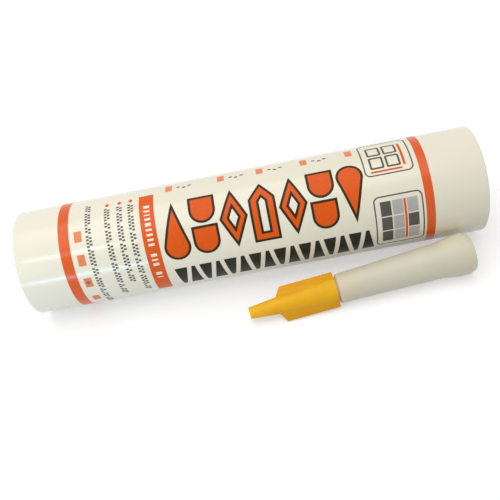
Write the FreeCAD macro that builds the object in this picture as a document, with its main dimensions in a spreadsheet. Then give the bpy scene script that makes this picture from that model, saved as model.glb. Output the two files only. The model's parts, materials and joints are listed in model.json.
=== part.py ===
import FreeCAD, Part
import os
import Sketcher

# Sealant cartridge of 310 ml, lying on its side, with its screw-on nozzle and winged cap lying beside it.
# Millimetres. X runs from the open rear rim to the threaded spout, and Z is up from the surface it lies on.

# Driving dimensions, each written once. Angles are in degrees.
SIZES = {
    # Cartridge body
    "barrel_radius": 25.0,
    "barrel_length": 215.0,
    "barrel_wall": 1.65,
    "barrel_edge_round": 0.7,
    "mouth_depth": 10.0,
    "mouth_relief": 0.3,
    "shoulder_thickness": 2.0,
    "front_recess": 5.0,
    "front_rim": 2.2,
    # Threaded spout with its closed tip, which is cut off before use
    "spout_collar_radius": 8.3,
    "spout_collar_length": 1.4,
    "spout_root_radius": 6.6,
    "spout_length": 9.2,
    "spout_bore_radius": 4.6,
    "spout_bore_taper": 1.6,
    "tip_foot_radius": 4.4,
    "tip_radius": 2.4,
    "tip_length": 2.6,
    "tip_skin": 0.9,
    "thread_height": 1.0,
    "thread_pitch": 3.0,
    "thread_foot": 1.9,
    "thread_crest": 0.7,
    "thread_sunk": 0.2,
    "thread_lead": 1.6,
    "thread_rise": 4.2,
    # Piston
    "piston_inset": 12.0,
    "piston_depth": 20.0,
    "piston_clearance": 0.05,
    "piston_disc": 2.2,
    "piston_skirt": 1.4,
    "piston_waist": 0.7,
    "piston_lip": 3.2,
    "piston_lip_slope": 1.0,
    "piston_hub_radius": 6.0,
    "piston_rib_depth": 9.0,
    "piston_rib_thickness": 1.3,
    "piston_ribs": 6,
    # Sealant
    "sealant_gap": 0.15,
    # Nozzle, measured along its own axis from the base
    "nozzle_length": 98.5,
    "socket_depth": 12.0,
    "socket_wall": 2.0,
    "socket_thread_rise": 8.0,
    "thread_clearance": 0.15,
    "base_slope": 3.0,
    "base_fall": 1.2,
    "collar_length": 8.0,
    "collar_fall": 0.25,
    "collar_fade": 7.0,
    "cone_foot_radius": 8.3,
    "cone_head_radius": 6.8,
    "cone_head_at": 61.5,
    "step_length": 1.5,
    "spike_foot_radius": 5.5,
    "spike_tip_radius": 2.3,
    "nozzle_wall": 1.3,
    # Cap
    "cap_length": 40.5,
    "cap_mouth_gap": 1.0,
    "cap_clearance": 0.15,
    "cap_wall": 0.95,
    "cap_nose_length": 13.0,
    "cap_nose_radius": 2.7,
    "cap_end_room": 0.8,
    "wing_span": 8.2,
    "wing_thickness": 2.0,
    "wing_slope": 3.0,
    "wing_edge_round": 0.7,
    # Where the nozzle lies
    "nozzle_base_at": 204.2,
    "nozzle_gap": 1.2,
    "nozzle_yaw": 4.7,
    "wing_roll": 45.0,
}

# Sizes that follow from the driving ones, as text for the sheet's expressions
BORE = "(sizes.barrel_radius - sizes.barrel_wall)"
MOUTH = f"({BORE} + sizes.mouth_relief)"
RECESS = "(sizes.barrel_length - sizes.front_recess)"
RECESS_WALL = "(sizes.barrel_radius - sizes.front_rim)"
SHOULDER = f"({RECESS} - sizes.shoulder_thickness)"
COLLAR_TOP = f"({RECESS} + sizes.spout_collar_length)"
SPOUT_TOP = f"({RECESS} + sizes.spout_length)"
BORE_TOP = f"({SPOUT_TOP} - sizes.spout_bore_taper)"
TIP_TOP = f"({SPOUT_TOP} + sizes.tip_length)"
CREST = "(sizes.spout_root_radius + sizes.thread_height)"
PISTON = f"({BORE} - sizes.piston_clearance)"
PISTON_FRONT = "(sizes.piston_inset + sizes.piston_depth)"
SOCKET = "(sizes.spout_root_radius + sizes.thread_clearance)"
GROOVE = f"({CREST} + sizes.thread_clearance)"
COLLAR = f"({GROOVE} + sizes.socket_wall)"
CONE_FOOT_AT = "(sizes.collar_length + sizes.collar_fade)"
STEP_END_AT = "(sizes.cone_head_at + sizes.step_length)"
SPIKE_FALL = (
    "((sizes.spike_foot_radius - sizes.spike_tip_radius)"
    f" / (sizes.nozzle_length - {STEP_END_AT}))"
)
CAP_MOUTH_AT = f"({STEP_END_AT} + sizes.cap_mouth_gap)"
CAP_END_AT = f"({CAP_MOUTH_AT} + sizes.cap_length)"
CAP_NOSE_AT = f"({CAP_END_AT} - sizes.cap_nose_length)"
CAP_ROOM_AT = "(sizes.nozzle_length + sizes.cap_end_room)"
CAP_BORE_MOUTH = f"(sizes.spike_foot_radius - sizes.cap_mouth_gap * {SPIKE_FALL} + sizes.cap_clearance)"
CAP_BORE_END = f"(sizes.spike_tip_radius - sizes.cap_end_room * {SPIKE_FALL} + sizes.cap_clearance)"
CAP_BORE_NOSE = f"({CAP_BORE_MOUTH} - ({CAP_NOSE_AT} - {CAP_MOUTH_AT}) * {SPIKE_FALL})"
WING_FRONT_AT = f"({CAP_NOSE_AT} - sizes.wing_slope)"

# How the nozzle rests: on its collar and on the front corner of the cap's lower wing
WING_DROP = (
    "(sizes.wing_span * cos(sizes.wing_roll)"
    " + (sizes.wing_thickness / 2 - sizes.wing_edge_round) * sin(sizes.wing_roll)"
    " + sizes.wing_edge_round * (1 - cos(sizes.wing_roll)))"
)
TILT = f"atan(({COLLAR} - {WING_DROP}) / ({WING_FRONT_AT} - sizes.base_slope))"
BASE_HEIGHT = f"({COLLAR} * cos({TILT}) + sizes.base_slope * sin({TILT}))"
BASE_ASIDE = (
    f"sqrt((sizes.barrel_radius + {COLLAR} + sizes.nozzle_gap)^2"
    f" - (sizes.barrel_radius - {BASE_HEIGHT})^2)"
)

# How near an edge lies to where it is looked for
NEAR = 0.01

doc = FreeCAD.newDocument("cartridge")
sheet = doc.addObject("Spreadsheet::Sheet", "sizes")


def fill_sheet(values, first_row):
    """Write each value beside its name, and give its cell that name."""
    for row, (name, value) in enumerate(values.items(), first_row):
        sheet.set(f"A{row}", name)
        sheet.set(f"B{row}", str(value))
        sheet.setAlias(f"B{row}", name)


fill_sheet(SIZES, 1)

# The middle of the whole object, which is measured once its pieces exist
MIDDLE = {"middle_along": 0.0, "middle_aside": 0.0}
MIDDLE_ROW = len(SIZES) + 2
fill_sheet(MIDDLE, MIDDLE_ROW)
doc.recompute()


def origin_part(body, role):
    """One of a body's own planes or axes."""
    return next(part for part in body.Origin.OriginFeatures if part.Role == role)


def new_body(label):
    body = doc.addObject("PartDesign::Body", label)
    body.Label = label
    return body


def outline(body, name, corners):
    """A closed outline of straight edges in the body's XZ plane, its corners bound to the sheet."""
    sketch = body.newObject("Sketcher::SketchObject", name)
    sketch.AttachmentSupport = [(origin_part(body, "XZ_Plane"), "")]
    sketch.MapMode = "FlatFace"
    places = []
    for along, out in corners:
        x = float(sheet.evalExpression(along))
        y = float(sheet.evalExpression(out))
        places.append(FreeCAD.Vector(x, y, 0))
    for here, there in zip(places, places[1:] + places[:1]):
        sketch.addGeometry(Part.LineSegment(here, there))
    for index in range(len(places)):
        following = (index + 1) % len(places)
        sketch.addConstraint(Sketcher.Constraint("Coincident", index, 2, following, 1))
    for index, (place, corner) in enumerate(zip(places, corners)):
        for kind, value, text, axis in (
            ("DistanceX", place.x, corner[0], -2),
            ("DistanceY", place.y, corner[1], -1),
        ):
            if text == "0":
                sketch.addConstraint(Sketcher.Constraint("PointOnObject", index, 1, axis))
                continue
            number = sketch.addConstraint(Sketcher.Constraint(kind, -1, 1, index, 1, value))
            sketch.renameConstraint(number, f"{kind}_{index}")
            sketch.setExpression(f"Constraints.{kind}_{index}", text)
    return sketch


def turned(body, name, corners, kind="PartDesign::Revolution"):
    """An outline turned once round the X axis, to add or, as a groove, to cut."""
    sketch = outline(body, name + "_outline", corners)
    feature = body.newObject(kind, name)
    feature.Profile = sketch
    feature.ReferenceAxis = (sketch, ["H_Axis"])
    feature.Angle = 360
    return feature


def slab(body, name, corners, thickness):
    """An outline padded by half its thickness to each side of the XZ plane."""
    feature = body.newObject("PartDesign::Pad", name)
    feature.Profile = outline(body, name + "_outline", corners)
    feature.Midplane = True
    feature.setExpression("Length", thickness)
    return feature


def screw(body, name, start, foot_radius, head_radius, rise, kind):
    """A trapezoid wound round the X axis: the spout's thread, or the groove that it fits."""
    centre = f"({start} + sizes.thread_foot / 2)"
    corners = [
        (start, foot_radius),
        (f"{centre} - sizes.thread_crest / 2", head_radius),
        (f"{centre} + sizes.thread_crest / 2", head_radius),
        (f"{start} + sizes.thread_foot", foot_radius),
    ]
    feature = body.newObject(kind, name)
    sketch = outline(body, name + "_outline", corners)
    feature.Profile = sketch
    feature.ReferenceAxis = (sketch, ["H_Axis"])
    feature.setExpression("Pitch", "sizes.thread_pitch")
    feature.setExpression("Height", rise)
    return feature


def rounded(body, name, radius, wanted):
    """A fillet on the edges of the body's tip that wanted() picks."""
    doc.recompute()
    tip = body.Tip
    edges = [f"Edge{n}" for n, edge in enumerate(tip.Shape.Edges, 1) if wanted(edge)]
    feature = body.newObject("PartDesign::Fillet", name)
    feature.Base = (tip, edges)
    feature.setExpression("Radius", radius)
    return feature


def barrel_place(inset):
    """On the barrel's axis, inset from its rear rim, with the barrel lying on the surface."""
    return (
        f"placement(vector({inset} - sizes.middle_along; -sizes.middle_aside; sizes.barrel_radius);"
        " rotation(0; 0; 0))"
    )


def make_cartridge_body():
    """Barrel, sunk front shoulder and spout, moulded in one."""
    body = new_body("cartridge_body")
    corners = [
        ("0", MOUTH),
        ("0", "sizes.barrel_radius"),
        ("sizes.barrel_length", "sizes.barrel_radius"),
        ("sizes.barrel_length", RECESS_WALL),
        (RECESS, RECESS_WALL),
        (RECESS, "sizes.spout_collar_radius"),
        (COLLAR_TOP, "sizes.spout_collar_radius"),
        (COLLAR_TOP, "sizes.spout_root_radius"),
        (SPOUT_TOP, "sizes.spout_root_radius"),
        (SPOUT_TOP, "sizes.tip_foot_radius"),
        (TIP_TOP, "sizes.tip_radius"),
        (TIP_TOP, "0"),
        (f"{TIP_TOP} - sizes.tip_skin", "0"),
        (f"{TIP_TOP} - sizes.tip_skin", "sizes.tip_radius - sizes.tip_skin"),
        (SPOUT_TOP, "sizes.tip_foot_radius - sizes.tip_skin"),
        (BORE_TOP, "sizes.spout_bore_radius"),
        (SHOULDER, "sizes.spout_bore_radius"),
        (SHOULDER, BORE),
        ("sizes.mouth_depth", BORE),
        ("sizes.mouth_depth", MOUTH),
    ]
    turned(body, "barrel", corners)
    length = SIZES["barrel_length"]
    radius = SIZES["barrel_radius"]

    def front_edge(edge):
        circle = edge.Curve
        return (
            isinstance(circle, Part.Circle)
            and abs(circle.Center.x - length) < NEAR
            and abs(circle.Radius - radius) < NEAR
        )

    rounded(body, "front_edge", "sizes.barrel_edge_round", front_edge)
    screw(
        body,
        "spout_thread",
        f"({COLLAR_TOP} + sizes.thread_lead)",
        "sizes.spout_root_radius - sizes.thread_sunk",
        CREST,
        "sizes.thread_rise",
        "PartDesign::AdditiveHelix",
    )
    body.setExpression("Placement", barrel_place("0"))
    return body


def make_piston():
    """Cup-shaped piston with two sealing lips, a hub and ribs behind its front disc."""
    body = new_body("piston")
    waist = f"{PISTON} - sizes.piston_waist"
    inside = f"({PISTON} - sizes.piston_waist - sizes.piston_skirt)"
    floor = "(sizes.piston_depth - sizes.piston_disc)"
    corners = [
        ("0", inside),
        ("0", waist),
        ("sizes.piston_lip_slope", PISTON),
        ("sizes.piston_lip_slope + sizes.piston_lip", PISTON),
        ("sizes.piston_lip_slope * 2 + sizes.piston_lip", waist),
        ("sizes.piston_depth - sizes.piston_lip_slope * 2 - sizes.piston_lip", waist),
        ("sizes.piston_depth - sizes.piston_lip_slope - sizes.piston_lip", PISTON),
        ("sizes.piston_depth - sizes.piston_lip_slope", PISTON),
        ("sizes.piston_depth", f"{PISTON} - sizes.piston_lip_slope"),
        ("sizes.piston_depth", "0"),
        (f"{floor} - sizes.piston_rib_depth", "0"),
        (f"{floor} - sizes.piston_rib_depth", "sizes.piston_hub_radius"),
        (floor, "sizes.piston_hub_radius"),
        (floor, inside),
    ]
    turned(body, "cup", corners)
    rib = slab(
        body,
        "rib",
        [
            (f"{floor} - sizes.piston_rib_depth", "sizes.piston_hub_radius / 2"),
            (f"{floor} - sizes.piston_rib_depth", "sizes.piston_hub_radius"),
            (f"{floor} - sizes.piston_rib_depth / 2", f"{inside} + sizes.piston_skirt / 2"),
            (f"{floor} + sizes.piston_disc / 2", f"{inside} + sizes.piston_skirt / 2"),
            (f"{floor} + sizes.piston_disc / 2", "sizes.piston_hub_radius / 2"),
        ],
        "sizes.piston_rib_thickness",
    )
    pattern = body.newObject("PartDesign::PolarPattern", "ribs")
    pattern.Originals = [rib]
    pattern.Axis = (origin_part(body, "X_Axis"), [""])
    pattern.Angle = 360
    pattern.setExpression("Occurrences", "sizes.piston_ribs")
    body.Tip = pattern
    body.setExpression("Placement", barrel_place("sizes.piston_inset"))
    return body


def make_sealant():
    """The filling, from the piston's disc to the spout's closed tip."""
    body = new_body("sealant")
    radius = f"({BORE} - sizes.sealant_gap)"
    stem = "(sizes.spout_bore_radius - sizes.sealant_gap)"
    front = f"({SHOULDER} - sizes.sealant_gap)"
    corners = [
        (PISTON_FRONT, "0"),
        (PISTON_FRONT, radius),
        (front, radius),
        (front, stem),
        (f"{BORE_TOP} - sizes.sealant_gap", stem),
        (f"{BORE_TOP} - sizes.sealant_gap", "0"),
    ]
    turned(body, "filling", corners)
    body.setExpression("Placement", barrel_place("0"))
    return body


def nozzle_place(roll):
    """The nozzle's axis lies on the surface beside the barrel, its tip pointing back along it."""
    return (
        f"placement(vector(sizes.nozzle_base_at - sizes.middle_along; -{BASE_ASIDE} - sizes.middle_aside;"
        f" {BASE_HEIGHT}); rotation(180 + sizes.nozzle_yaw; {TILT}; {roll}))"
    )


def make_nozzle():
    """Hollow tapered nozzle with a threaded socket at its base and an open tip."""
    body = new_body("nozzle")
    wall = "sizes.nozzle_wall"
    corners = [
        ("0", SOCKET),
        ("0", f"{COLLAR} - sizes.base_fall"),
        ("sizes.base_slope", COLLAR),
        ("sizes.collar_length", f"{COLLAR} - sizes.collar_fall"),
        (CONE_FOOT_AT, "sizes.cone_foot_radius"),
        ("sizes.cone_head_at", "sizes.cone_head_radius"),
        (STEP_END_AT, "sizes.spike_foot_radius"),
        ("sizes.nozzle_length", "sizes.spike_tip_radius"),
        ("sizes.nozzle_length", f"sizes.spike_tip_radius - {wall} / 2"),
        (STEP_END_AT, f"sizes.spike_foot_radius - {wall}"),
        ("sizes.cone_head_at", f"sizes.cone_head_radius - {wall}"),
        ("sizes.socket_depth", f"sizes.cone_foot_radius - {wall}"),
        ("sizes.socket_depth", SOCKET),
    ]
    turned(body, "shell", corners)
    screw(
        body,
        "socket_thread",
        "sizes.thread_lead / 2",
        f"{SOCKET} - sizes.thread_sunk",
        GROOVE,
        "sizes.socket_thread_rise",
        "PartDesign::SubtractiveHelix",
    )
    body.setExpression("Placement", nozzle_place("0"))
    return body


def make_cap():
    """Closed cap over the nozzle's tip, with two flat wings to turn it by."""
    body = new_body("nozzle_cap")
    mouth_radius = f"({CAP_BORE_MOUTH} + sizes.cap_wall)"
    nose_foot = f"({CAP_BORE_NOSE} + sizes.cap_wall)"
    turned(
        body,
        "cone",
        [
            (CAP_MOUTH_AT, "0"),
            (CAP_MOUTH_AT, mouth_radius),
            (CAP_NOSE_AT, nose_foot),
            (CAP_END_AT, "sizes.cap_nose_radius"),
            (CAP_END_AT, "0"),
        ],
    )
    slab(
        body,
        "wings",
        [
            (CAP_MOUTH_AT, "sizes.wing_span"),
            (WING_FRONT_AT, "sizes.wing_span"),
            (CAP_NOSE_AT, f"{nose_foot} / 2"),
            (CAP_NOSE_AT, f"-{nose_foot} / 2"),
            (WING_FRONT_AT, "-sizes.wing_span"),
            (CAP_MOUTH_AT, "-sizes.wing_span"),
        ],
        "sizes.wing_thickness",
    )
    span = SIZES["wing_span"]

    def wing_edge(edge):
        box = edge.BoundBox
        outer = min(abs(box.ZMin), abs(box.ZMax)) > span - NEAR
        return outer and box.ZLength < NEAR and box.XLength > NEAR

    rounded(body, "wing_edges", "sizes.wing_edge_round", wing_edge)
    turned(
        body,
        "bore",
        [
            (CAP_MOUTH_AT, "0"),
            (CAP_MOUTH_AT, CAP_BORE_MOUTH),
            (CAP_ROOM_AT, CAP_BORE_END),
            (CAP_ROOM_AT, "0"),
        ],
        "PartDesign::Groove",
    )
    body.setExpression("Placement", nozzle_place("sizes.wing_roll"))
    return body


pieces = [make_cartridge_body(), make_piston(), make_sealant(), make_nozzle(), make_cap()]
doc.recompute()

# The origin stands under the middle of the whole object
boxes = [piece.Shape.optimalBoundingBox(False, False) for piece in pieces]
middle_along = (min(box.XMin for box in boxes) + max(box.XMax for box in boxes)) / 2
middle_aside = (min(box.YMin for box in boxes) + max(box.YMax for box in boxes)) / 2
fill_sheet({"middle_along": middle_along, "middle_aside": middle_aside}, MIDDLE_ROW)
doc.recompute()

for thing in doc.Objects:
    if "Invalid" in thing.State or "Error" in thing.State:
        raise RuntimeError(f"{thing.Label} did not build: {thing.State}")
for piece in pieces:
    if piece.Shape.isNull() or not piece.Shape.isValid():
        raise RuntimeError(f"{piece.Label} has no valid shape")

os.makedirs("parts", exist_ok=True)
for piece in pieces:
    piece.Shape.exportStep(f"parts/{piece.Label}.step")
    box = piece.Shape.optimalBoundingBox(False, False)
    print(
        f"{piece.Label}: {len(piece.Shape.Solids)} solid, {piece.Shape.Volume:.0f} mm3,",
        f"x {box.XMin:.3f} to {box.XMax:.3f}, y {box.YMin:.3f} to {box.YMax:.3f},",
        f"z {box.ZMin:.3f} to {box.ZMax:.3f}",
    )
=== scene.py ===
import json
import math

import bpy
from bpy.props import FloatProperty, FloatVectorProperty, IntProperty, PointerProperty
from mathutils import Matrix, Vector

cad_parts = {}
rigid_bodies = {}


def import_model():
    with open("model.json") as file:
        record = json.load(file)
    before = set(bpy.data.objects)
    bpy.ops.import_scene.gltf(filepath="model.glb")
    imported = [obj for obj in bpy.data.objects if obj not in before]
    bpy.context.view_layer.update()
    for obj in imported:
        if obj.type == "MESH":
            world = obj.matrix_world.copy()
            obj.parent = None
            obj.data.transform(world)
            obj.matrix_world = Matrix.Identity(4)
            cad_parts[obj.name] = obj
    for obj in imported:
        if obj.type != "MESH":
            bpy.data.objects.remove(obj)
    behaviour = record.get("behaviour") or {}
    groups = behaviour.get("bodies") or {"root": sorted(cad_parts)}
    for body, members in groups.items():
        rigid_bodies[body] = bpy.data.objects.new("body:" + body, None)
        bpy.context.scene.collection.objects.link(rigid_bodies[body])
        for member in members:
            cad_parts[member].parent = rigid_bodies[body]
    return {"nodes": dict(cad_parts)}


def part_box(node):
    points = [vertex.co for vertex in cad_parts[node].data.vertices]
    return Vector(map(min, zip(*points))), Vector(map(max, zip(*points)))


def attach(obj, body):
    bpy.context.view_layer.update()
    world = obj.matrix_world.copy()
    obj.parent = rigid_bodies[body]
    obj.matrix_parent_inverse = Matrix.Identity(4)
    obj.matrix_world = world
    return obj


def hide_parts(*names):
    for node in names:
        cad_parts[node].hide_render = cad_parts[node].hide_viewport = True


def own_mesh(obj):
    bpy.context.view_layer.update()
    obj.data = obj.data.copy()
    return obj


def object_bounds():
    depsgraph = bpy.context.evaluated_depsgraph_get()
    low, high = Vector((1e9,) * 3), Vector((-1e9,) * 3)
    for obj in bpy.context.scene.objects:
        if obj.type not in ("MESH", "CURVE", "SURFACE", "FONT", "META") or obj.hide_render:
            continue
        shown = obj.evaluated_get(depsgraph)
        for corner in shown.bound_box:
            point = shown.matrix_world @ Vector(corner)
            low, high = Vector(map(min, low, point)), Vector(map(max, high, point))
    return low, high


bl_info = {
    "name": "Sealant Cartridge",
    "version": (1, 0, 0),
    "blender": (4, 5, 0),
    "location": "3D View > Sidebar > Cartridge",
    "description": "Dresses a printed sealant cartridge with its nozzle and winged cap",
    "category": "Object",
}

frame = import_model()
CAD_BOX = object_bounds()

MM = 0.001
WELD = MM / 500
BARREL_LOW, BARREL_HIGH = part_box("cartridge_body")
AXIS_HEIGHT = (BARREL_LOW.z + BARREL_HIGH.z) / 2
AXIS_ASIDE = (BARREL_LOW.y + BARREL_HIGH.y) / 2
REAR_RIM = BARREL_LOW.x
SPOUT_HEIGHT = 9.2 * MM
SPOUT_BORE = 4.6 * MM
SPOUT_TAPER = 1.6 * MM


def length_property(label, description, millimetres):
    """A size that a user may change, given in millimetres and kept in metres."""
    return FloatProperty(
        name=label,
        description=description,
        default=millimetres * MM,
        precision=5,
        subtype="DISTANCE",
        unit="LENGTH",
    )


def angle_property(label, description, degrees):
    """An angle that a user may change, given in degrees."""
    return FloatProperty(
        name=label,
        description=description,
        default=math.radians(degrees),
        subtype="ANGLE",
        unit="ROTATION",
    )


def plain_property(label, description, value):
    """A plain number that can't fall below 0."""
    return FloatProperty(name=label, description=description, default=value, min=0)


def colour_property(label, description, red, green, blue):
    """A colour written as it looks on the screen, 0 to 255, and kept as light."""
    return FloatVectorProperty(
        name=label,
        description=description,
        default=tuple(light(part) for part in (red, green, blue)),
        min=0,
        max=1,
        size=3,
        subtype="COLOR",
    )


def light(part):
    """The share of light that a screen value from 0 to 255 stands for."""
    share = part / 255
    if share <= 0.04045:
        return share / 12.92
    return ((share + 0.055) / 1.055) ** 2.4


class CartridgeSizes(bpy.types.PropertyGroup):
    radius: length_property("Radius", "Outside of the printed barrel", 25.0)
    print_depth: length_property("Print depth", "How far the ink stands on the barrel", 0.04)
    length: length_property("Length", "From the rear rim to the front rim", 215.0)
    bore: length_property("Bore", "Inside radius of the barrel", 23.35)
    mouth: length_property("Mouth", "Inside radius at the rear rim", 23.65)
    mouth_depth: length_property("Mouth depth", "How deep the wider mouth goes", 10.0)
    shoulder: length_property("Shoulder", "Thickness of the front wall", 2.0)
    recess: length_property("Recess", "How deep the front wall is sunk", 5.0)
    rim: length_property("Rim", "Thickness of the rim round the sunk front wall", 2.2)
    edge_round: length_property("Edge round", "Round of the front edge", 0.7)
    collar: length_property("Collar", "Radius of the step at the spout's foot", 8.3)
    spout: length_property("Spout", "Radius of the spout under its thread", 6.6)
    thread: length_property("Thread", "Height of the spout's thread", 1.0)
    pitch: length_property("Pitch", "From one turn of the thread to the next", 3.0)
    piston_front: length_property("Piston front", "From the rear rim to the piston's face", 32.0)
    paste_gap: length_property("Paste gap", "Room between the paste and the wall", 0.15)
    segments: IntProperty(
        name="Segments", description="Faces round the barrel", default=144, min=24
    )


class NozzleSizes(bpy.types.PropertyGroup):
    base_along: length_property("Base along", "Where the base's middle is, along the barrel", 93.3)
    base_aside: length_property("Base aside", "Where the base's middle is, across the barrel", -22.089)
    base_height: length_property("Base height", "Height of the base's middle", 9.8656)
    yaw: angle_property("Yaw", "How far the nozzle turns away from the barrel's line", 4.7)
    tilt: angle_property("Tilt", "How far the nozzle slopes down to its tip", 2.3673)
    length: length_property("Length", "From the base to the tip", 98.5)
    collar: length_property("Collar", "Outside radius of the socket", 9.75)
    tip: length_property("Tip", "Outside radius at the tip", 2.3)
    socket: length_property("Socket", "Inside radius over the thread's crests", 6.75)
    groove: length_property("Groove", "Inside radius between the thread's crests", 7.75)
    wing_roll: angle_property("Wing roll", "How the cap's wings lean from upright", 45.0)
    wing_span: length_property("Wing span", "From the axis to a wing's edge", 8.2)
    wing_thickness: length_property("Wing thickness", "Thickness of a wing", 2.0)
    cap_end: length_property("Cap end", "From the nozzle's base to the cap's closed end", 104.5)
    segments: IntProperty(
        name="Segments", description="Faces round the nozzle and the cap", default=96, min=24
    )


class PrintSizes(bpy.types.PropertyGroup):
    facing: angle_property("Facing", "How far up the print's middle line is turned", 40.0)
    rear_ring: length_property("Rear ring", "Middle of the rear ring from mid-length", -83.8)
    rear_ring_width: length_property("Rear ring width", "Width of the rear ring", 5.0)
    front_ring: length_property("Front ring", "Middle of the front ring from mid-length", 81.0)
    front_ring_width: length_property("Front ring width", "Width of the front ring", 4.0)
    outline: length_property("Outline", "Width of the dark line round the large shapes", 1.15)
    slice: length_property("Slice", "Spacing of the cuts that let the print bend", 1.25)


class FinishColours(bpy.types.PropertyGroup):
    barrel: colour_property("Barrel", "Cream plastic", 236, 231, 212)
    barrel_shade: colour_property("Barrel shade", "Where the cream is thinner", 228, 222, 200)
    orange: colour_property("Orange", "Main ink", 220, 88, 16)
    orange_light: colour_property("Pale orange", "Screened ink of the small squares", 230, 134, 90)
    dark: colour_property("Dark", "Black ink with a green cast", 38, 40, 30)
    outline: colour_property("Outline", "Dark brown line round the large shapes", 46, 38, 18)
    grey: colour_property("Grey", "Thin ink of the small lines", 88, 86, 80)
    grey_light: colour_property("Pale grey", "Screened ink of the pictures", 176, 175, 170)
    white: colour_property("White", "Ink left out of the orange stripe", 240, 226, 210)
    nozzle: colour_property("Nozzle", "Frosted plastic", 218, 211, 187)
    # The warmer frosted colour beside the cap is a painted warm reflection.
    nozzle_painted_reflection: colour_property("Nozzle warm", "Frosted plastic beside the cap", 224, 203, 172)
    cap: colour_property("Cap", "Yellow plastic", 240, 182, 28)
    cap_shade: colour_property("Cap shade", "Yellow plastic in thicker places", 232, 170, 18)
    # Both wing colours are darker copies of the cap's yellow: painted shade on the wings.
    wing_painted_shade: colour_property("Wing", "Yellow plastic of the cap's wings", 230, 167, 18)
    wing_painted_shade_drift: colour_property("Wing shade", "The wings where they are thicker", 222, 156, 12)
    piston: colour_property("Piston", "Pale plastic", 226, 224, 216)
    paste: colour_property("Paste", "Translucent sealant", 214, 216, 214)


class StageSettings(bpy.types.PropertyGroup):
    azimuth: angle_property("Azimuth", "How far the camera stands round to the left", 3.407)
    elevation: angle_property("Elevation", "How far the camera looks down", 42.986)
    roll: angle_property("Roll", "How far the camera's right side dips", 13.1)
    aim: FloatVectorProperty(
        name="Aim",
        description="Where the middle of the picture looks",
        default=(-6.0 * MM, 1.05 * MM, 15.0 * MM),
        size=3,
        precision=5,
        subtype="TRANSLATION",
        unit="LENGTH",
    )
    distance: length_property("Distance", "From the camera to its aim", 331.789)
    lens: plain_property("Lens", "Focal length on a 36 mm sensor", 49.503)
    ambient: plain_property("Ambient", "Light from all round", 0.58)
    key: plain_property("Key", "Power of the large lamp above", 4.2)
    fill: plain_property("Fill", "Power of the lamp at the left", 0.36)
    low: plain_property("Low", "Power of the low lamp at the rear end", 0.09)
    strip: plain_property("Strip", "Power of the lamp that glints on the rear end", 0.12)
    floor_shade: plain_property("Floor shade", "How much light the floor gives back", 0.62)
    floor_glow: plain_property("Floor glow", "Light added where the floor is seen", 0.46)


def settings(name):
    """One of the groups of properties that register adds to the scene."""
    return getattr(bpy.context.scene, name)


# Shaping tools that the pieces share


def deselect_all():
    """Leaves edit mode and lets go of every object."""
    if bpy.context.object and bpy.context.object.mode != "OBJECT":
        bpy.ops.object.mode_set(mode="OBJECT")
    bpy.ops.object.select_all(action="DESELECT")


def edit_all():
    """Opens the active piece for shaping, with all of it selected."""
    bpy.ops.object.mode_set(mode="EDIT")
    bpy.ops.mesh.select_all(action="SELECT")


def start_piece(name):
    """A new piece that holds one selected point at the origin, open for shaping."""
    deselect_all()
    bpy.ops.mesh.primitive_plane_add(size=MM)
    piece = bpy.context.object
    piece.name = name
    piece.data.name = name
    edit_all()
    bpy.ops.mesh.merge(type="CENTER")
    return piece


def draw_outline(corners):
    """Moves the selected point to the first corner, each (along, up), and pulls it along the rest."""
    bpy.ops.transform.translate(value=(corners[0][0], 0, corners[0][1]))
    for here, there in zip(corners, corners[1:]):
        step = (there[0] - here[0], 0, there[1] - here[1])
        bpy.ops.mesh.extrude_vertices_move(TRANSFORM_OT_translate={"value": step})


def weld():
    """Merges doubled points, in edit mode, and leaves everything selected."""
    bpy.ops.mesh.select_all(action="SELECT")
    bpy.ops.mesh.remove_doubles(threshold=WELD)
    bpy.ops.mesh.select_all(action="SELECT")


def close_mesh():
    """Merges doubled points, turns every face outwards and leaves edit mode."""
    weld()
    bpy.ops.mesh.delete_loose()
    bpy.ops.mesh.select_all(action="SELECT")
    bpy.ops.mesh.normals_make_consistent(inside=False)
    bpy.ops.object.mode_set(mode="OBJECT")


def turned(name, corners, segments, closed=True):
    """A body turned about the X axis from an outline of (along, out) corners, in metres."""
    piece = start_piece(name)
    draw_outline(corners + corners[:1] if closed else corners)
    weld()
    bpy.ops.mesh.spin(steps=segments, angle=math.tau, center=(0, 0, 0), axis=(1, 0, 0))
    close_mesh()
    return piece


def select_only(*pieces):
    """Selects these pieces, the first of them active."""
    deselect_all()
    for piece in pieces:
        piece.select_set(True)
    bpy.context.view_layer.objects.active = pieces[0]


def apply_modifier(piece, kind, **values):
    """Adds a modifier with these values and applies it."""
    select_only(piece)
    modifier = piece.modifiers.new(kind.lower(), kind)
    for key, value in values.items():
        setattr(modifier, key, value)
    bpy.ops.object.modifier_apply(modifier=modifier.name)


def soften_edges(piece, width, degrees=30, segments=3):
    """Rounds the sharp edges and shades the rest smooth."""
    apply_modifier(
        piece,
        "BEVEL",
        width=width,
        segments=segments,
        limit_method="ANGLE",
        angle_limit=math.radians(degrees),
    )
    smooth(piece)


def smooth(piece, degrees=32):
    """Shades the piece smooth, apart from edges sharper than this."""
    select_only(piece)
    bpy.ops.object.shade_smooth_by_angle(angle=math.radians(degrees))


def place(piece, location, rotation):
    """Puts the finished shape where it belongs, and its origin back at the scene's."""
    select_only(piece)
    piece.location = location
    piece.rotation_euler = rotation
    bpy.ops.object.transform_apply(location=True, rotation=True, scale=True)


def place_on_axis(piece):
    """Puts a shape that was made along the X axis where the barrel lies."""
    place(piece, (REAR_RIM, AXIS_ASIDE, AXIS_HEIGHT), (0, 0, 0))


def join(pieces, name):
    """Makes one piece of several."""
    select_only(*pieces)
    bpy.ops.object.join()
    piece = bpy.context.object
    piece.name = name
    piece.data.name = name
    return piece


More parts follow.
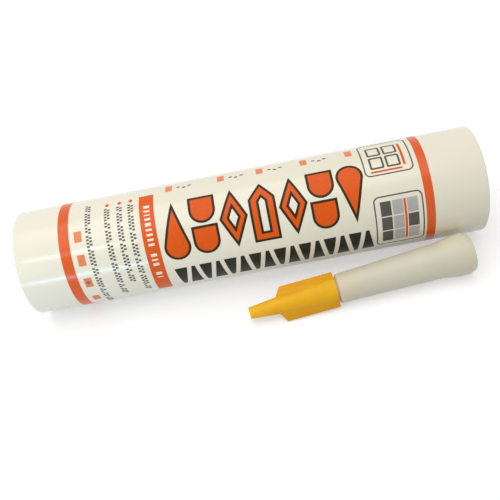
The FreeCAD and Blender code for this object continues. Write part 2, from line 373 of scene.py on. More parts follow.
def thread_ridge(name, start, foot, crest, pitch, turns, foot_width, crest_width):
    """One helical ridge about the X axis, its two ends closed."""
    steps_per_turn = 48
    steps = int(steps_per_turn * turns)
    piece = start_piece(name)
    corners = [
        (start - foot_width / 2, foot),
        (start - crest_width / 2, crest),
        (start + crest_width / 2, crest),
        (start + foot_width / 2, foot),
        (start - foot_width / 2, foot),
    ]
    draw_outline(corners)
    weld()
    bpy.ops.object.mode_set(mode="OBJECT")
    apply_modifier(
        piece,
        "SCREW",
        axis="X",
        angle=math.tau * turns,
        screw_offset=pitch * turns,
        steps=steps,
        render_steps=steps,
        use_merge_vertices=False,
    )
    select_only(piece)
    edit_all()
    bpy.ops.mesh.fill_holes(sides=8)
    close_mesh()
    smooth(piece)
    return piece


# Finishes


class Finish:
    """A material whose shader is fed with patterns drawn on Object coordinates, in metres."""

    def __init__(self, name):
        self.material = bpy.data.materials.new(name)
        self.material.use_nodes = True
        self.nodes = self.material.node_tree.nodes
        self.links = self.material.node_tree.links
        self.inputs = self.nodes["Principled BSDF"].inputs
        self.where = self.nodes.new("ShaderNodeTexCoord").outputs["Object"]

    def feed(self, name, value):
        """Links a pattern to the shader's input of this name."""
        self.links.new(value, self.inputs[name])

    def noise(self, scale, detail, stretch=(1, 1, 1)):
        """Noise drawn at so many spots in a metre, stretched along the axes."""
        mapping = self.nodes.new("ShaderNodeMapping")
        mapping.inputs["Scale"].default_value = stretch
        texture = self.nodes.new("ShaderNodeTexNoise")
        texture.inputs["Scale"].default_value = scale
        texture.inputs["Detail"].default_value = detail
        self.links.new(self.where, mapping.inputs["Vector"])
        self.links.new(mapping.outputs["Vector"], texture.inputs["Vector"])
        return texture.outputs["Fac"]

    def remap(self, value, low, high, to_low, to_high):
        """The value moved from one range to another, and kept inside it."""
        node = self.nodes.new("ShaderNodeMapRange")
        node.inputs["From Min"].default_value = low
        node.inputs["From Max"].default_value = high
        node.inputs["To Min"].default_value = to_low
        node.inputs["To Max"].default_value = to_high
        self.links.new(value, node.inputs["Value"])
        return node.outputs["Result"]

    def mix(self, share, first, second):
        """A blend of two colours, each a colour or another node's output."""
        node = self.nodes.new("ShaderNodeMix")
        node.data_type = "RGBA"
        self.links.new(share, node.inputs["Factor"])
        for socket, colour in (("A", first), ("B", second)):
            entry = next(s for s in node.inputs if s.name == socket and s.type == "RGBA")
            if isinstance(colour, bpy.types.NodeSocket):
                self.links.new(colour, entry)
            else:
                entry.default_value = (*colour, 1)
        return next(s for s in node.outputs if s.type == "RGBA")

    def bump(self, height, depth, strength):
        """Raises the surface by the pattern, this deep at its highest."""
        bump = self.nodes.new("ShaderNodeBump")
        bump.inputs["Distance"].default_value = depth
        bump.inputs["Strength"].default_value = strength
        self.links.new(height, bump.inputs["Height"])
        self.feed("Normal", bump.outputs["Normal"])

    def let_light_in(self, weight, radius):
        """Spreads light under the surface, this far for red, green and blue."""
        self.inputs["Subsurface Weight"].default_value = weight
        self.inputs["Subsurface Radius"].default_value = radius
        self.inputs["Subsurface Scale"].default_value = 1.0


def moulded_plastic(name, colour, shade, roughness, clouding, grain=900, stretch=(1, 1, 1)):
    """Moulded plastic: the colour drifts softly, and the skin has a fine grain and dull spots."""
    finish = Finish(name)
    drift = finish.remap(finish.noise(clouding, 3, stretch), 0.35, 0.68, 0, 1)
    finish.feed("Base Color", finish.mix(drift, colour, shade))
    wear = finish.noise(140, 5, stretch)
    finish.feed("Roughness", finish.remap(wear, 0.3, 0.75, roughness - 0.02, roughness + 0.05))
    finish.bump(finish.noise(grain, 2, stretch), 0.01 * MM, 0.3)
    return finish


def printed_ink(name, colour, roughness=0.28, sheen=0.15):
    """Screen-printed ink: nearly even colour, faint thin spots and a slight grain."""
    finish = Finish(name)
    spots = finish.remap(finish.noise(700, 4), 0.45, 0.8, 0, 0.5)
    paler = tuple(min(1, part * 1.16 + 0.006) for part in colour)
    finish.feed("Base Color", finish.mix(spots, colour, paler))
    dull = finish.noise(90, 3)
    finish.feed("Roughness", finish.remap(dull, 0.3, 0.7, roughness - 0.03, roughness + 0.06))
    finish.inputs["Specular IOR Level"].default_value = sheen
    finish.bump(finish.noise(1600, 2), 0.01 * MM, 0.25)
    return finish.material


def frosted_plastic():
    """Frosted, slightly see-through plastic, with a painted warm reflection that grows towards the
    cap.
    """
    colours = settings("cartridge_finish")
    cap_rim = 0.026
    painted_reflection_until = 0.05
    finish = Finish("nozzle_frosted")
    parts = finish.nodes.new("ShaderNodeSeparateXYZ")
    finish.links.new(finish.where, parts.inputs["Vector"])
    # Painted reflection: the colour turns warmer from this point to the cap's rim.
    painted_reflection_mask = finish.remap(parts.outputs["X"], cap_rim, painted_reflection_until, 1, 0)
    tone_with_painted_reflection = finish.mix(painted_reflection_mask, colours.nozzle, colours.nozzle_painted_reflection)
    cloud = finish.remap(finish.noise(60, 3), 0.35, 0.7, 0, 0.35)
    deeper = tuple(part * 0.86 for part in colours.nozzle)
    finish.feed("Base Color", finish.mix(cloud, tone_with_painted_reflection, deeper))
    finish.feed("Roughness", finish.remap(finish.noise(300, 4), 0.3, 0.7, 0.4, 0.52))
    finish.let_light_in(0.45, (0.007, 0.006, 0.004))
    finish.bump(finish.noise(1500, 2), 0.02 * MM, 0.4)
    return finish.material


def cap_plastic(name, colour, shade):
    """Satin yellow plastic that lets a little light in."""
    finish = moulded_plastic(name, colour, shade, roughness=0.42, clouding=70)
    finish.inputs["Specular IOR Level"].default_value = 0.22
    finish.let_light_in(0.1, (0.003, 0.002, 0.0006))
    return finish.material


def finish_piece(piece, material, body):
    """Gives a finished piece its material and its body."""
    if material is not None:
        piece.data.materials.clear()
        piece.data.materials.append(material)
    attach(piece, body)


# The cartridge


class CARTRIDGE_OT_barrel(bpy.types.Operator):
    """Turns the barrel with its sunk front wall and closed spout, and winds the spout's thread"""

    bl_idname = "cartridge.barrel"
    bl_label = "Barrel"

    def execute(self, context):
        sizes = settings("cartridge_sizes")
        skin = sizes.radius - sizes.print_depth
        front = sizes.length
        wall = front - sizes.recess
        collar_top = wall + 1.4 * MM
        spout_top = wall + SPOUT_HEIGHT
        tip_top = spout_top + 2.6 * MM
        tip_inside = tip_top - 0.9 * MM
        inner_front = wall - sizes.shoulder
        rim_inside = sizes.radius - sizes.rim
        rounded_edge = []
        edge_steps = 6
        for step in range(edge_steps + 1):
            angle = math.radians(90 - 90 * step / edge_steps)
            along = front - sizes.edge_round + sizes.edge_round * math.cos(angle)
            out = skin - sizes.edge_round + sizes.edge_round * math.sin(angle)
            rounded_edge.append((along, out))
        corners = [
            (tip_inside, 0),
            (tip_inside, 1.5 * MM),
            (spout_top, 3.5 * MM),
            (spout_top - SPOUT_TAPER, SPOUT_BORE),
            (inner_front, SPOUT_BORE),
            (inner_front, sizes.bore),
            (sizes.mouth_depth + 0.3 * MM, sizes.bore),
            (sizes.mouth_depth, sizes.mouth),
            (0, sizes.mouth),
            (0, skin),
            *rounded_edge,
            (front, rim_inside),
            (wall, rim_inside),
            (wall, sizes.collar),
            (collar_top, sizes.collar),
            (collar_top, sizes.spout),
            (spout_top, sizes.spout),
            (spout_top, 4.4 * MM),
            (tip_top, 2.4 * MM),
            (tip_top, 0),
        ]
        barrel = turned("barrel", corners, sizes.segments, closed=False)
        soften_edges(barrel, 0.25 * MM, degrees=40)
        ridge = thread_ridge(
            "spout_thread",
            start=collar_top + 1.6 * MM,
            foot=sizes.spout - 0.2 * MM,
            crest=sizes.spout + sizes.thread,
            pitch=sizes.pitch,
            turns=1.4,
            foot_width=1.9 * MM,
            crest_width=0.7 * MM,
        )
        barrel = join([barrel, ridge], "barrel")
        place_on_axis(barrel)
        colours = settings("cartridge_finish")
        cream = moulded_plastic(
            "barrel_cream",
            colours.barrel,
            colours.barrel_shade,
            roughness=0.18,
            clouding=18,
            grain=700,
            stretch=(0.5, 1, 1),
        )
        finish_piece(barrel, cream.material, "cartridge")
        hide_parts("cartridge_body")
        return {"FINISHED"}


class CARTRIDGE_OT_rings(bpy.types.Operator):
    """Lays the two orange rings round the barrel"""

    bl_idname = "cartridge.rings"
    bl_label = "Rings"

    def execute(self, context):
        sizes = settings("cartridge_sizes")
        layout = settings("cartridge_print")
        orange = settings("cartridge_finish").orange
        ink = printed_ink("ink_orange_rings", orange, roughness=0.19, sheen=0.35)
        inside = sizes.radius - 2 * sizes.print_depth
        for name, middle, width in (
            ("rear_ring", layout.rear_ring, layout.rear_ring_width),
            ("front_ring", layout.front_ring, layout.front_ring_width),
        ):
            start = sizes.length / 2 + middle - width / 2
            corners = [
                (start, inside),
                (start, sizes.radius),
                (start + width, sizes.radius),
                (start + width, inside),
            ]
            ring = turned(name, corners, sizes.segments)
            smooth(ring)
            place_on_axis(ring)
            finish_piece(ring, ink, "cartridge")
        return {"FINISHED"}


# The print is drawn flat, X along the barrel and Z round it, and then bent round the barrel.
# Its places are in millimetres: along from mid-length, and round from the line that faces the camera.


def start_print(name, materials):
    """An empty flat print, open for drawing."""
    piece = start_piece(name)
    bpy.ops.mesh.select_all(action="SELECT")
    bpy.ops.mesh.delete(type="VERT")
    for material in materials:
        piece.data.materials.append(material)
    return piece


def use_ink(index):
    """The selected faces take this ink."""
    bpy.context.object.active_material_index = index
    bpy.ops.object.material_slot_assign()


def lay_block(along, round_, width, height, ink=0):
    """A flat rectangle about its middle."""
    middle = (along * MM, 0, round_ * MM)
    bpy.ops.mesh.primitive_plane_add(size=1, location=middle, rotation=(math.pi / 2, 0, 0))
    bpy.ops.transform.resize(value=(width * MM, 1, height * MM), center_override=middle)
    use_ink(ink)


def lay_shape(along, round_, corners, ink=0):
    """A flat shape with these corners about its middle, left selected."""
    bpy.ops.mesh.primitive_plane_add(size=MM, location=(along * MM, 0, round_ * MM))
    bpy.ops.mesh.merge(type="CENTER")
    draw_outline([(x * MM, z * MM) for x, z in corners + corners[:1]])
    bpy.ops.mesh.select_linked()
    bpy.ops.mesh.remove_doubles(threshold=WELD)
    bpy.ops.mesh.edge_face_add()
    use_ink(ink)


def open_middle(border):
    """Leaves only a border of the selected shape, this wide in millimetres."""
    bpy.ops.mesh.inset(thickness=border * MM, use_even_offset=True)
    bpy.ops.mesh.delete(type="FACE")


def drop_corners(radius, half, steps=22):
    """Corners of a drop: a point at the top and a round foot."""
    foot = radius - half
    lean = math.asin(radius / (half - foot))
    corners = [(0, half)]
    for step in range(steps + 1):
        angle = lean - (math.pi + 2 * lean) * step / steps
        corners.append((radius * math.cos(angle), foot + radius * math.sin(angle)))
    return corners


def scale_corners(radius, height, steps=14):
    """Corners of a roof tile: a straight top and a round foot."""
    top = height / 2
    foot = radius - top
    corners = [(radius, top), (-radius, top)]
    for step in range(steps + 1):
        angle = math.pi + math.pi * step / steps
        corners.append((radius * math.cos(angle), foot + radius * math.sin(angle)))
    return corners


def rounded_corners(width, height, radius, steps=5):
    """Corners of a rectangle with round corners."""
    corners = []
    for quarter, (side, end) in enumerate(((1, 1), (-1, 1), (-1, -1), (1, -1))):
        for step in range(steps + 1):
            angle = math.radians(90 * quarter + 90 * step / steps)
            x = side * (width / 2 - radius) + radius * math.cos(angle)
            z = end * (height / 2 - radius) + radius * math.sin(angle)
            corners.append((x, z))
    return corners


def wrap_print(piece, turn=0.0):
    """Cuts the flat print in narrow steps, bends it round the barrel and gives it its thin depth."""
    sizes = settings("cartridge_sizes")
    layout = settings("cartridge_print")
    bpy.ops.object.mode_set(mode="OBJECT")
    heights = [vertex.co.z for vertex in piece.data.vertices]
    low = min(heights)
    high = max(heights)
    edit_all()
    bpy.ops.mesh.normals_make_consistent(inside=False)
    cuts = int((high - low) / layout.slice)
    for step in range(1, cuts + 1):
        bpy.ops.mesh.select_all(action="SELECT")
        bpy.ops.mesh.bisect(
            plane_co=(0, 0, low + step * (high - low) / (cuts + 1)), plane_no=(0, 0, 1)
        )
    face_the_camera(piece)
    bpy.ops.object.mode_set(mode="OBJECT")
    apply_modifier(
        piece,
        "SIMPLE_DEFORM",
        deform_method="BEND",
        deform_axis="X",
        angle=(high - low) / sizes.radius,
    )
    apply_modifier(piece, "SOLIDIFY", thickness=2 * sizes.print_depth, offset=-1)
    place(piece, (0, -sizes.radius, 0), (0, 0, 0))
    middle = REAR_RIM + sizes.length / 2
    place(piece, (middle, AXIS_ASIDE, AXIS_HEIGHT), (turn - layout.facing, 0, 0))
    smooth(piece)
    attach(piece, "cartridge")


def face_the_camera(piece):
    """Turns the flat faces that look away, so that the whole print faces outwards."""
    bpy.ops.object.mode_set(mode="OBJECT")
    for polygon in piece.data.polygons:
        polygon.select = polygon.normal.y > 0
    bpy.ops.object.mode_set(mode="EDIT")
    if piece.data.total_face_sel:
        bpy.ops.mesh.flip_normals()


class CARTRIDGE_OT_large_shapes(bpy.types.Operator):
    """Prints the row of seven large orange shapes with their dark outline"""

    bl_idname = "cartridge.large_shapes"
    bl_label = "Large shapes"

    def execute(self, context):
        layout = settings("cartridge_print")
        colours = settings("cartridge_finish")
        dark = printed_ink("ink_dark_outline", colours.outline)
        orange = printed_ink("ink_orange_shapes", colours.orange)
        piece = start_print("large_shapes", [dark, orange])
        half = 13.8
        side = 6.1
        point = 6.5
        eaves = 6.2
        drop = drop_corners(side, half)
        fallen = [(x, -z) for x, z in drop]
        lozenge = [(0, half), (-point, 0), (0, -half), (point, 0)]
        house = [(-side, -half), (side, -half), (side, eaves), (0, half), (-side, eaves)]
        tile = scale_corners(side, 13.2)
        row = (
            (-33.2, 2.4, drop, 0),
            (-19.6, 10.0, tile, 0),
            (-19.6, -4.2, tile, 0),
            (-6.0, 3.2, lozenge, 4.1),
            (7.6, 3.6, house, 4.7),
            (21.2, 3.7, lozenge, 4.1),
            (34.7, 10.9, tile, 0),
            (34.7, -3.3, tile, 0),
            (48.0, 4.0, fallen, 0),
        )
        for along, round_, corners, limb in row:
            lay_shape(along, round_, corners)
            bpy.ops.mesh.inset(thickness=layout.outline, use_even_offset=True)
            use_ink(1)
            if limb:
                bpy.ops.mesh.inset(thickness=limb * MM - 2 * layout.outline, use_even_offset=True)
                use_ink(0)
                open_middle(layout.outline / MM)
        wrap_print(piece)
        return {"FINISHED"}


class CARTRIDGE_OT_dark_row(bpy.types.Operator):
    """Prints the row of dark wedges under the large shapes"""

    bl_idname = "cartridge.dark_row"
    bl_label = "Dark row"

    def execute(self, context):
        dark = printed_ink("ink_dark_row", settings("cartridge_finish").dark)
        piece = start_print("dark_row", [dark])
        wedge = [(-2.9, -6.3), (2.9, -6.3), (0.8, 6.3), (-0.8, 6.3)]
        count = 16
        start = (-34.5, -22.4)
        run = (86.5, 1.2)
        for index in range(count):
            share = index / (count - 1)
            along = start[0] + run[0] * share
            round_ = start[1] + run[1] * share
            turned_over = [(x, z if index % 2 else -z) for x, z in wedge]
            lay_shape(along, round_, turned_over)
        wrap_print(piece)
        return {"FINISHED"}


class CARTRIDGE_OT_stripe(bpy.types.Operator):
    """Prints the orange stripe with its row of white blocks"""

    bl_idname = "cartridge.stripe"
    bl_label = "Stripe"

    def execute(self, context):
        colours = settings("cartridge_finish")
        orange = printed_ink("ink_orange_stripe", colours.orange, roughness=0.2, sheen=0.25)
        white = printed_ink("ink_white_blocks", colours.white)
        piece = start_print("stripe", [orange, white])
        left = -48.0
        right = -41.2
        top = 24.3
        bottom = -30.0
        margin = 2.0
        gap = 1.22
        lead = 7.0
        blocks = (1.5, 1.0, 0.6, 1.1, 1.6, 1.0, 1.1, 1.0, 1.1, 0, 1.4, 0.8, 1.4, 0, 1.6, 0.6)
        middle = (left + right) / 2
        height = top - bottom
        for edge in (left + margin / 2, right - margin / 2):
            lay_block(edge, (top + bottom) / 2, margin, height)
        inner = right - left - 2 * margin
        lay_block(middle, top - lead / 2, inner, lead)
        level = top - lead
        for block in blocks:
            if block:
                lay_block(middle, level - block / 2, inner, block, ink=1)
                level -= block
                lay_block(middle, level - gap / 2, inner, gap)
                level -= gap
            else:
                lay_block(middle, level - gap, inner, 2 * gap)
                level -= 2 * gap
        lay_block(middle, (level + bottom) / 2, inner, level - bottom)
        wrap_print(piece)
        return {"FINISHED"}


def lay_dots(along, top, bottom, groups):
    """A column of small dots in two staggered lines, in groups of uneven length."""
    stagger = 0.7
    spacing = 0.78
    gap = 0.9
    level = top
    index = 0
    while level > bottom:
        for step in range(groups[index % len(groups)]):
            aside = stagger if step % 2 else -stagger
            lay_block(along + aside, level, 1.2, 0.85)
            level -= spacing
        level -= gap
        index += 1


class CARTRIDGE_OT_small_print(bpy.types.Operator):
    """Prints the grey columns, the orange bullets, the small squares and their ticks"""

    bl_idname = "cartridge.small_print"
    bl_label = "Small print"

    def execute(self, context):
        colours = settings("cartridge_finish")
        grey = printed_ink("ink_grey_marks", colours.grey)
        orange = printed_ink("ink_orange_bullets", colours.orange)
        pale = printed_ink("ink_pale_squares", colours.orange_light)
        piece = start_print("small_print", [grey, orange, pale])
        diamond = [(0, 1.3), (-1.1, 0), (0, -1.3), (1.1, 0)]
        groups = (6, 9, 4, 7, 10, 5, 8, 3)
        lay_dots(-72.2, 24.7, -30.0, groups)
        for turn, (along, end) in enumerate(((-63.1, -26), (-57.3, -20), (-52.0, -24)), 1):
            lay_shape(along, 22.6, diamond, ink=1)
            lay_dots(along, 19.8, end, groups[turn:] + groups[:turn])
        squares = -77.2
        marked = -14.4
        for round_, height in ((8.0, 5.2), (-3.0, 5.2), (marked, 5.2), (-26.0, 4.4)):
            lay_block(squares, round_, 3.5, height, ink=2)
        top_row = (-34.0, -9.4, 8.9, 29.5, 50.4)
        for along in top_row:
            lay_block(along, 27.0, 3.2, 5.4, ink=2)
            ticks = 0 if along == top_row[-1] else 3
            for tick in range(ticks):
                lay_block(along + 4.6 + 2.6 * tick, 26.6 - tick % 2, 1.5, 1.0)
        wrap_print(piece)
        cross = [(0, 1.2), (-1.2, 0), (0, -1.2), (1.2, 0)]
        marks = start_print("square_mark", [grey])
        lay_shape(squares, marked, cross)
        wrap_print(marks)
        return {"FINISHED"}


class CARTRIDGE_OT_pictures(bpy.types.Operator):
    """Prints the two framed pictures: a window and a tiled wall, each with an orange bead"""

    bl_idname = "cartridge.pictures"
    bl_label = "Pictures"

    def execute(self, context):
        colours = settings("cartridge_finish")
        grey = printed_ink("ink_grey_frames", colours.grey)
        pale = printed_ink("ink_pale_grey", colours.grey_light)
        orange = printed_ink("ink_orange_bead", colours.orange)
        piece = start_print("pictures", [grey, pale, orange])
        for along, round_, height in ((66.0, 20.9, 23.0), (67.0, -13.5, 27.0)):
            lay_shape(along, round_, rounded_corners(22.0, height, 2.6))
            open_middle(0.6)
        window = ((61.2, 24.0), (68.6, 24.0), (61.2, 16.2), (68.6, 16.2))
        for along, round_ in window:
            lay_shape(along, round_, rounded_corners(6.4, 6.8, 0.8, 3))
            open_middle(0.9)
        lay_block(73.3, 20.1, 1.1, 14.8, ink=2)
        lay_block(64.9, 11.4, 14.2, 0.9, ink=2)
        columns = (61.2, 66.6, 73.2)
        lines = (-6.0, -13.4, -20.8)
        tiles = (0, 1, 1, 0, 1, 0, 0, 1, 1)
        for index, ink in enumerate(tiles):
            lay_block(columns[index % 3], lines[index // 3], 4.8, 6.8, ink=ink)
        lay_block(69.85, lines[1], 1.0, 21.6, ink=2)
        wrap_print(piece)
        return {"FINISHED"}


class CARTRIDGE_OT_back_print(bpy.types.Operator):
    """Prints two columns of grey lines on the far side, each under an orange bar"""

    bl_idname = "cartridge.back_print"
    bl_label = "Back print"

    def execute(self, context):
        colours = settings("cartridge_finish")
        grey = printed_ink("ink_grey_lines", colours.grey)
        orange = printed_ink("ink_orange_bars", colours.orange)
        piece = start_print("back_print", [grey, orange])
        lengths = (7.0, 4.0, 9.0, 5.5, 3.0, 8.0, 6.0)
        wide = 58.0
        gap = 1.3
        shortest = 3
        for left in (-66.0, 6.0):
            right = left + wide
            lay_block(left + wide / 2, 26.0, wide, 3.2, ink=1)
            for line in range(15):
                along = left
                step = line
                while along < right - shortest:
                    length = min(lengths[step % len(lengths)], right - along)
                    lay_block(along + length / 2, 20.5 - 3.1 * line, length, 1.0)
                    along += length + gap
                    step += 1
        wrap_print(piece, math.pi)
        return {"FINISHED"}


class CARTRIDGE_OT_piston(bpy.types.Operator):
    """Gives the piston its plastic"""

    bl_idname = "cartridge.piston"
    bl_label = "Piston"

    def execute(self, context):
        colour = settings("cartridge_finish").piston
        shade = tuple(part * 0.9 for part in colour)
        finish = moulded_plastic("piston_pale", colour, shade, roughness=0.4, clouding=60)
        for slot in frame["nodes"]["piston"].material_slots:
            slot.material = finish.material
        return {"FINISHED"}


class CARTRIDGE_OT_sealant(bpy.types.Operator):
    """Fills the barrel with paste from the piston's face to the spout"""

    bl_idname = "cartridge.sealant"
    bl_label = "Sealant"

    def execute(self, context):
        sizes = settings("cartridge_sizes")
        gap = sizes.paste_gap
        clear_of_piston = 0.05 * MM
        chamfer = 0.6 * MM
        rear = sizes.piston_front + clear_of_piston
        wall = sizes.length - sizes.recess
        front = wall - sizes.shoulder - gap
        tip = wall + SPOUT_HEIGHT - SPOUT_TAPER - gap
        outside = sizes.bore - gap
        corners = [
            (rear, 0),
            (rear, outside - chamfer),
            (rear + chamfer, outside),
            (front - chamfer, outside),
            (front, outside - chamfer),
            (front, SPOUT_BORE - gap),
            (tip, SPOUT_BORE - gap),
            (tip, 0),
        ]
        paste = turned("paste", corners, segments=96, closed=False)
        smooth(paste)
        place_on_axis(paste)
        colour = settings("cartridge_finish").paste
        shade = tuple(part * 0.94 for part in colour)
        finish = moulded_plastic("sealant_paste", colour, shade, roughness=0.28, clouding=90)
        finish.let_light_in(0.3, (0.004, 0.004, 0.004))
        finish_piece(paste, finish.material, "cartridge")
        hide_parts("sealant")
        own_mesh(paste)
        return {"FINISHED"}


def nozzle_place(piece, roll=0.0):
    """Lays a piece that was made along the X axis where the nozzle lies."""
    sizes = settings("cartridge_nozzle")
    place(
        piece,
        (sizes.base_along, sizes.base_aside, sizes.base_height),
        (roll, sizes.tilt, math.pi + sizes.yaw),
    )


class CARTRIDGE_OT_nozzle(bpy.types.Operator):
    """Turns the hollow nozzle and winds the thread inside its socket"""

    bl_idname = "cartridge.nozzle"
    bl_label = "Nozzle"

    def execute(self, context):
        sizes = settings("cartridge_nozzle")
        wall = 1.3 * MM
        cone = 8.3 * MM
        socket_end = 12.0 * MM
        outside = [
            (0, sizes.collar - 1.2 * MM),
            (3.0 * MM, sizes.collar),
            (8.0 * MM, sizes.collar - 0.25 * MM),
            (15.0 * MM, cone),
            (62.3 * MM, 6.78 * MM),
            (63.2 * MM, 5.48 * MM),
            (sizes.length, sizes.tip),
        ]
        inside = [
            (sizes.length, sizes.tip - wall / 2),
            (63.0 * MM, 5.5 * MM - wall),
            (61.5 * MM, 6.8 * MM - wall),
            (socket_end, cone - wall),
            (socket_end, sizes.socket),
            (9.4 * MM, sizes.socket),
            (8.8 * MM, sizes.groove),
        ]
        corners = [(0, sizes.groove), *outside, *inside]
        shell = turned("nozzle", corners, sizes.segments)
        soften_edges(shell, 0.3 * MM, degrees=40)
        ridge = thread_ridge(
            "socket_ridge",
            start=1.6 * MM,
            foot=sizes.groove + 0.15 * MM,
            crest=sizes.socket,
            pitch=3.0 * MM,
            turns=2.2,
            foot_width=1.6 * MM,
            crest_width=1.0 * MM,
        )
        nozzle = join([shell, ridge], "nozzle_shell")
        nozzle_place(nozzle)
        finish_piece(nozzle, frosted_plastic(), "cartridge")
        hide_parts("nozzle")
        return {"FINISHED"}


class CARTRIDGE_OT_cap(bpy.types.Operator):
    """Turns the cap, unites it with its two thick-rooted wings and hollows it"""

    bl_idname = "cartridge.cap"
    bl_label = "Cap"

    def execute(self, context):
        sizes = settings("cartridge_nozzle")
        mouth = 63.6 * MM
        nose = sizes.cap_end - 13.0 * MM
        taper = 0.09014
        bore = 5.56 * MM
        outside = bore + 0.95 * MM
        corners = [
            (mouth, 0),
            (mouth, outside),
            (nose, outside - taper * (nose - mouth)),
            (sizes.cap_end, 2.7 * MM),
            (sizes.cap_end, 0),
        ]
        colours = settings("cartridge_finish")
        yellow = cap_plastic("cap_yellow", colours.cap, colours.cap_shade)
        # The wings take a darker copy of the cap's yellow plastic: painted shade.
        deeper = cap_plastic("wing_yellow", colours.wing_painted_shade, colours.wing_painted_shade_drift)
        cap = turned("winged_cap", corners, sizes.segments, closed=False)
        cap.data.materials.append(yellow)
        wings = self.wings(mouth)
        wings.data.materials.append(deeper)
        self.combine(cap, wings, "UNION")
        before_mouth = mouth - 1.0 * MM
        hollow_end = 99.3 * MM
        inside = [
            (before_mouth, 0),
            (before_mouth, bore + 0.09 * MM),
            (hollow_end, 2.38 * MM),
            (hollow_end, 0),
        ]
        hollow = turned("hollow", inside, sizes.segments, closed=False)
        hollow.data.materials.append(yellow)
        self.combine(cap, hollow, "DIFFERENCE")
        select_only(cap)
        edit_all()
        close_mesh()
        soften_edges(cap, 0.3 * MM, degrees=35)
        nozzle_place(cap, sizes.wing_roll)
        finish_piece(cap, None, "cap")
        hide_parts("nozzle_cap")
        return {"FINISHED"}

    def combine(self, cap, tool, operation):
        """Adds or cuts away the tool, and then removes it."""
        select_only(cap)
        step = cap.modifiers.new(operation.lower(), "BOOLEAN")
        step.operation = operation
        step.solver = "EXACT"
        step.material_mode = "TRANSFER"
        step.object = tool
        bpy.ops.object.modifier_apply(modifier=step.name)
        bpy.data.objects.remove(tool)

    def wings(self, mouth):
        """Both wings in one: a long section, thick at the axis and thin at its edges."""
        sizes = settings("cartridge_nozzle")
        wings = start_piece("wings")
        span = sizes.wing_span
        edge = sizes.wing_thickness / 2
        thick = 4.7 * MM
        root = 4.3 * MM
        right = [(edge, span), (thick, root), (thick, -root), (edge, -span)]
        left = [(-x, z) for x, z in reversed(right)]
        draw_outline(right + left + right[:1])
        weld()
        bpy.ops.mesh.edge_face_add()
        for length, thin, narrow in ((24.9, 0.45, 1.0), (3.2, 0.8, 0.4)):
            bpy.ops.mesh.extrude_region_move(
                TRANSFORM_OT_translate={"value": (0, length * MM, 0)}
            )
            bpy.ops.transform.resize(value=(thin, 1, narrow), center_override=(0, 0, 0))
        close_mesh()
        place(wings, (mouth, 0, 0), (0, 0, math.radians(-90)))
        return wings


# The stage


# Each lamp's place, sides, colour and the point it faces, in metres. Its power is a stage setting.
LAMPS = {
    "key": ((-0.12, -0.02, 0.88), (0.9, 0.9), (1.0, 0.98, 0.95), (0, 0, 0.02)),
    "fill": ((-0.6, -0.45, 0.12), (0.35, 0.35), (0.8, 0.9, 1.0), (0, 0, 0.02)),
    "low": (
        (-0.175, -0.2, 0.008), (0.13, 0.011), (0.45, 0.72, 1.0), (-0.175, AXIS_ASIDE - 0.02, 0.03)
    ),
    "strip": (
        (-0.245, -0.223, 0.26), (0.13, 0.009), (1, 1, 1), (-0.245, AXIS_ASIDE - 0.02, 0.042)
    ),
}


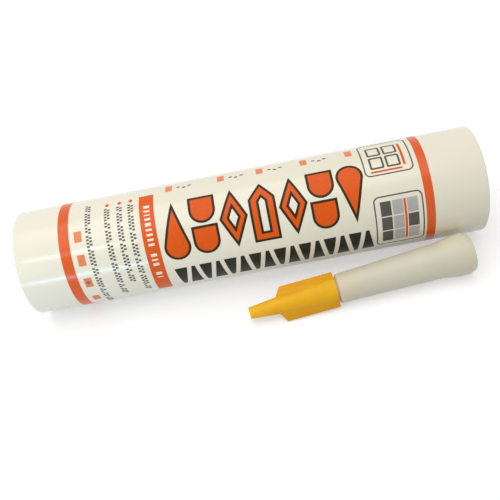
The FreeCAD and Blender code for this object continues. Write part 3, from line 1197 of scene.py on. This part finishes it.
class CARTRIDGE_OT_stage(bpy.types.Operator):
    """Sets the pale floor, the soft lamps, the surrounding light and the camera"""

    bl_idname = "cartridge.stage"
    bl_label = "Stage"

    def execute(self, context):
        stage = settings("cartridge_stage")
        self.floor(stage)
        self.surroundings(stage.ambient)
        for name, (location, sides, colour, target) in LAMPS.items():
            self.lamp(name, location, sides, getattr(stage, name), colour, target)
        self.camera(context, stage)
        return {"FINISHED"}

    def floor(self, stage):
        """A plain floor that keeps its shadows and is lifted to near white where it is seen."""
        deselect_all()
        level = CAD_BOX[0][2] - 0.02 * MM
        bpy.ops.mesh.primitive_plane_add(size=4, location=(0, 0, level))
        floor = bpy.context.object
        floor.name = "floor"
        material = bpy.data.materials.new("floor_white")
        material.use_nodes = True
        nodes = material.node_tree.nodes
        links = material.node_tree.links
        nodes.clear()
        seen = self.seen_directly(nodes, links)
        surface = nodes.new("ShaderNodeBsdfDiffuse")
        shade = stage.floor_shade
        surface.inputs["Color"].default_value = (shade, shade, shade, 1)
        glow = nodes.new("ShaderNodeEmission")
        strength = nodes.new("ShaderNodeMath")
        strength.operation = "MULTIPLY"
        strength.inputs[1].default_value = stage.floor_glow
        both = nodes.new("ShaderNodeAddShader")
        output = nodes.new("ShaderNodeOutputMaterial")
        links.new(seen, strength.inputs[0])
        links.new(strength.outputs["Value"], glow.inputs["Strength"])
        links.new(surface.outputs["BSDF"], both.inputs[0])
        links.new(glow.outputs["Emission"], both.inputs[1])
        links.new(both.outputs["Shader"], output.inputs["Surface"])
        floor.data.materials.append(material)

    def seen_directly(self, nodes, links):
        """1 for the camera's own rays and for those through gloss or glass, else 0."""
        path = nodes.new("ShaderNodeLightPath")
        seen = path.outputs["Is Camera Ray"]
        for ray in ("Is Glossy Ray", "Is Transmission Ray"):
            either = nodes.new("ShaderNodeMath")
            either.operation = "MAXIMUM"
            links.new(seen, either.inputs[0])
            links.new(path.outputs[ray], either.inputs[1])
            seen = either.outputs["Value"]
        return seen

    def surroundings(self, ambient):
        """White where it is seen, and dimmer as a light."""
        world = bpy.context.scene.world or bpy.data.worlds.new("surroundings")
        bpy.context.scene.world = world
        world.use_nodes = True
        nodes = world.node_tree.nodes
        links = world.node_tree.links
        nodes.clear()
        seen = self.seen_directly(nodes, links)
        level = nodes.new("ShaderNodeMapRange")
        level.inputs["To Min"].default_value = ambient
        level.inputs["To Max"].default_value = 1.0
        background = nodes.new("ShaderNodeBackground")
        output = nodes.new("ShaderNodeOutputWorld")
        links.new(seen, level.inputs["Value"])
        links.new(level.outputs["Result"], background.inputs["Strength"])
        background.inputs["Color"].default_value = (1, 1, 1, 1)
        links.new(background.outputs["Background"], output.inputs["Surface"])

    def lamp(self, name, location, sides, power, colour, target):
        """A flat lamp that faces its target."""
        bpy.ops.object.light_add(type="AREA", location=location)
        lamp = bpy.context.object
        lamp.name = name
        lamp.data.shape = "RECTANGLE"
        lamp.data.size = sides[0]
        lamp.data.size_y = sides[1]
        lamp.data.energy = power
        lamp.data.color = colour
        towards = Vector(target) - Vector(location)
        lamp.rotation_euler = towards.to_track_quat("-Z", "Y").to_euler()

    def camera(self, context, stage):
        """A camera that looks at the aim from the given side, height and distance."""
        turn = Matrix.Rotation(stage.azimuth, 4, "Z")
        look = Matrix.Rotation(math.pi / 2 - stage.elevation, 4, "X")
        roll = Matrix.Rotation(-stage.roll, 4, "Z")
        facing = turn @ look @ roll
        back = facing.to_3x3() @ Vector((0, 0, 1))
        location = Vector(stage.aim) + back * stage.distance
        bpy.ops.object.camera_add(location=location, rotation=facing.to_euler())
        camera = context.object
        camera.name = "camera"
        camera.data.lens = stage.lens
        camera.data.sensor_width = 36
        camera.data.clip_start = 0.01
        camera.data.dof.use_dof = False
        context.scene.camera = camera
        context.scene.view_settings.view_transform = "Standard"


OPERATORS = (
    CARTRIDGE_OT_barrel,
    CARTRIDGE_OT_rings,
    CARTRIDGE_OT_large_shapes,
    CARTRIDGE_OT_dark_row,
    CARTRIDGE_OT_stripe,
    CARTRIDGE_OT_small_print,
    CARTRIDGE_OT_pictures,
    CARTRIDGE_OT_back_print,
    CARTRIDGE_OT_piston,
    CARTRIDGE_OT_sealant,
    CARTRIDGE_OT_nozzle,
    CARTRIDGE_OT_cap,
    CARTRIDGE_OT_stage,
)


class CARTRIDGE_PT_sidebar(bpy.types.Panel):
    """Lists the steps that dress the cartridge"""

    bl_idname = "CARTRIDGE_PT_sidebar"
    bl_label = "Sealant cartridge"
    bl_space_type = "VIEW_3D"
    bl_region_type = "UI"
    bl_category = "Cartridge"

    def draw(self, context):
        for operator in OPERATORS:
            self.layout.operator(operator.bl_idname)


GROUPS = {
    "cartridge_sizes": CartridgeSizes,
    "cartridge_nozzle": NozzleSizes,
    "cartridge_print": PrintSizes,
    "cartridge_finish": FinishColours,
    "cartridge_stage": StageSettings,
}


def register():
    """Adds the groups of properties to the scene, then the operators and the panel."""
    for name, group in GROUPS.items():
        bpy.utils.register_class(group)
        setattr(bpy.types.Scene, name, PointerProperty(type=group))
    for operator in OPERATORS:
        bpy.utils.register_class(operator)
    bpy.utils.register_class(CARTRIDGE_PT_sidebar)


def unregister():
    """Takes back what register adds."""
    bpy.utils.unregister_class(CARTRIDGE_PT_sidebar)
    for operator in reversed(OPERATORS):
        bpy.utils.unregister_class(operator)
    for name, group in GROUPS.items():
        delattr(bpy.types.Scene, name)
        bpy.utils.unregister_class(group)


def main():
    """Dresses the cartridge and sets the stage."""
    register()
    for operator in OPERATORS:
        group, name = operator.bl_idname.split(".")
        getattr(getattr(bpy.ops, group), name)()
    deselect_all()


if __name__ == "__main__":
    main()
